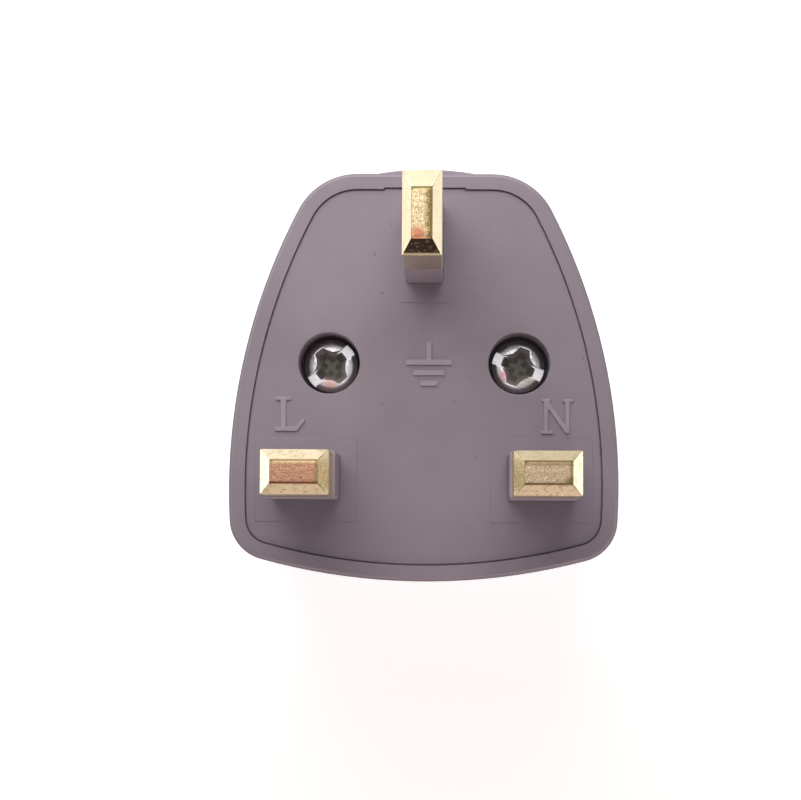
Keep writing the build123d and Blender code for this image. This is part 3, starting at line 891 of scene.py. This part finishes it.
# %% Table
TABLE_SIZE = 2000.0
TABLE_GLOW = 0.78
TABLE_IN_METAL = 0.7
PINK_SHADE_REACH = 50.0
PAPER_WHITE = (0.75, 0.75, 0.75, 1)
PAPER_PINK_SHADE = (0.72, 0.54, 0.52, 1)
GLOW_PINK_SHADE = (1, 0.93, 0.92, 1)
WHITE = (1, 1, 1, 1)
BLACK = (0, 0, 0, 1)
bpy.ops.object.select_all(action="DESELECT")
bpy.ops.mesh.primitive_grid_add(x_subdivisions=8, y_subdivisions=8, size=TABLE_SIZE * MM)
table = bpy.context.object
table.name = "table"
bench = FinishBench("pale_table")
rays = bench.add("ShaderNodeLightPath", out=None)
seen = Wire(bench, rays.outputs["Is Camera Ray"])
seen = seen + Wire(bench, rays.outputs["Is Glossy Ray"]) * TABLE_IN_METAL
# Painted pink shade: towards the front the paper is darker and pinker, and glows less and pinker.
pink_shade = bench.steps(0 - bench.y, 0.0, PINK_SHADE_REACH * MM)
paper = bench.blend(pink_shade, PAPER_WHITE, PAPER_PINK_SHADE)
tint = bench.blend(pink_shade, WHITE, GLOW_PINK_SHADE)
glow = bench.blend(seen * TABLE_GLOW, BLACK, tint)
bench.finish(Base_Color=paper, Roughness=0.9, Emission_Color=glow, Emission_Strength=1.0)
table.data.materials.append(bench.material)

# %% [markdown]
# The sky is white to the camera. To plain surfaces it is a dim even grey, because the lamps do
# the lighting, and shiny surfaces see it grow brighter from the horizon to overhead.

# %% Sky
AMBIENT = (0.18, 0.18, 0.18, 1)
SKY_LOW = 0.38
SKY_HIGH = 1.05
world = bpy.data.worlds.new("studio")
bpy.context.scene.world = world
world.use_nodes = True
sky = Bench(world.node_tree)
rays = sky.add("ShaderNodeLightPath", out=None)
height = sky.apart(sky.add("ShaderNodeTexCoord", out="Generated"))[2]
overhead = sky.steps(height, 0.35, 0.85, To_Min=SKY_LOW, To_Max=SKY_HIGH)
light = sky.blend(Wire(sky, rays.outputs["Is Glossy Ray"]), AMBIENT, overhead)
light = sky.blend(Wire(sky, rays.outputs["Is Camera Ray"]), light, WHITE)
background = sky.tree.nodes["Background"]
sky.put(background.inputs["Color"], light)
sky.put(background.inputs["Strength"], 1.0)
print("the sky is made of", len(sky.tree.nodes), "nodes")

# %% [markdown]
# Two soft lamps light the adapter: a window behind it, which metal mirrors, and a warm room
# before it, which metal doesn't, because its mirror image would whiten the lower bevels.

# %% Lamps
LAMP_AIM = Vector((0, 0, 20))


def lamp(name, place, size, watts, colour, in_metal):
    """A soft square lamp that faces the middle of the adapter. Metal mirrors it, or doesn't."""
    data = bpy.data.lights.new(name, "AREA")
    data.color = colour
    data.shape = "SQUARE"
    data.size = size * MM
    data.energy = watts
    thing = bpy.data.objects.new(name, data)
    bpy.context.collection.objects.link(thing)
    thing.location = Vector(place) * MM
    thing.rotation_euler = (Vector(place) - LAMP_AIM).to_track_quat("Z", "Y").to_euler()
    thing.visible_camera = False
    thing.visible_glossy = in_metal
    print("lamp", name, "of", watts, "W")


lamp("window", (-15, 80, 100), 130, 0.14, (1.0, 1.0, 1.0), True)
lamp("room", (80, -300, 80), 200, 0.50, (1.0, 0.88, 0.88), False)

# %% [markdown]
# Brass is only as good as what it mirrors. Four sheets of paper stand round the adapter, and only
# shiny surfaces see them: bright ones at its left and right, a dim one behind it, and before it
# a grey one that gives the bevels their olive side.

# %% Cards for the metal
CARD_GREY = from_screen(190, 184, 170)
CARD_DIM = (1.0, 0.97, 0.97, 1)


def card(name, place, turn, width, height, colour, glow):
    """An upright sheet of glowing paper, width by height, that only shiny surfaces see."""
    bpy.ops.object.select_all(action="DESELECT")
    bpy.ops.mesh.primitive_grid_add(x_subdivisions=4, y_subdivisions=4, size=1.0)
    sheet = bpy.context.object
    sheet.name = name
    sheet.scale = (width * MM, height * MM, 1)
    sheet.rotation_euler = (math.radians(90), 0, math.radians(turn))
    sheet.location = Vector(place) * MM
    bench = FinishBench(name + "_paper")
    bench.finish(Base_Color=colour, Roughness=0.9, Emission_Color=colour, Emission_Strength=glow)
    sheet.data.materials.append(bench.material)
    sheet.visible_camera = sheet.visible_shadow = sheet.visible_diffuse = False


card("left_card", (-120, 0, 22), 90, 200, 44, WHITE, 1.6)
card("right_card", (120, 0, 22), 90, 200, 44, WHITE, 1.3)
card("far_card", (0, 110, 20), 0, 200, 40, CARD_DIM, 0.48)
card("grey_card", (0, -170, 30), 0, 400, 60, CARD_GREY, 0.49)
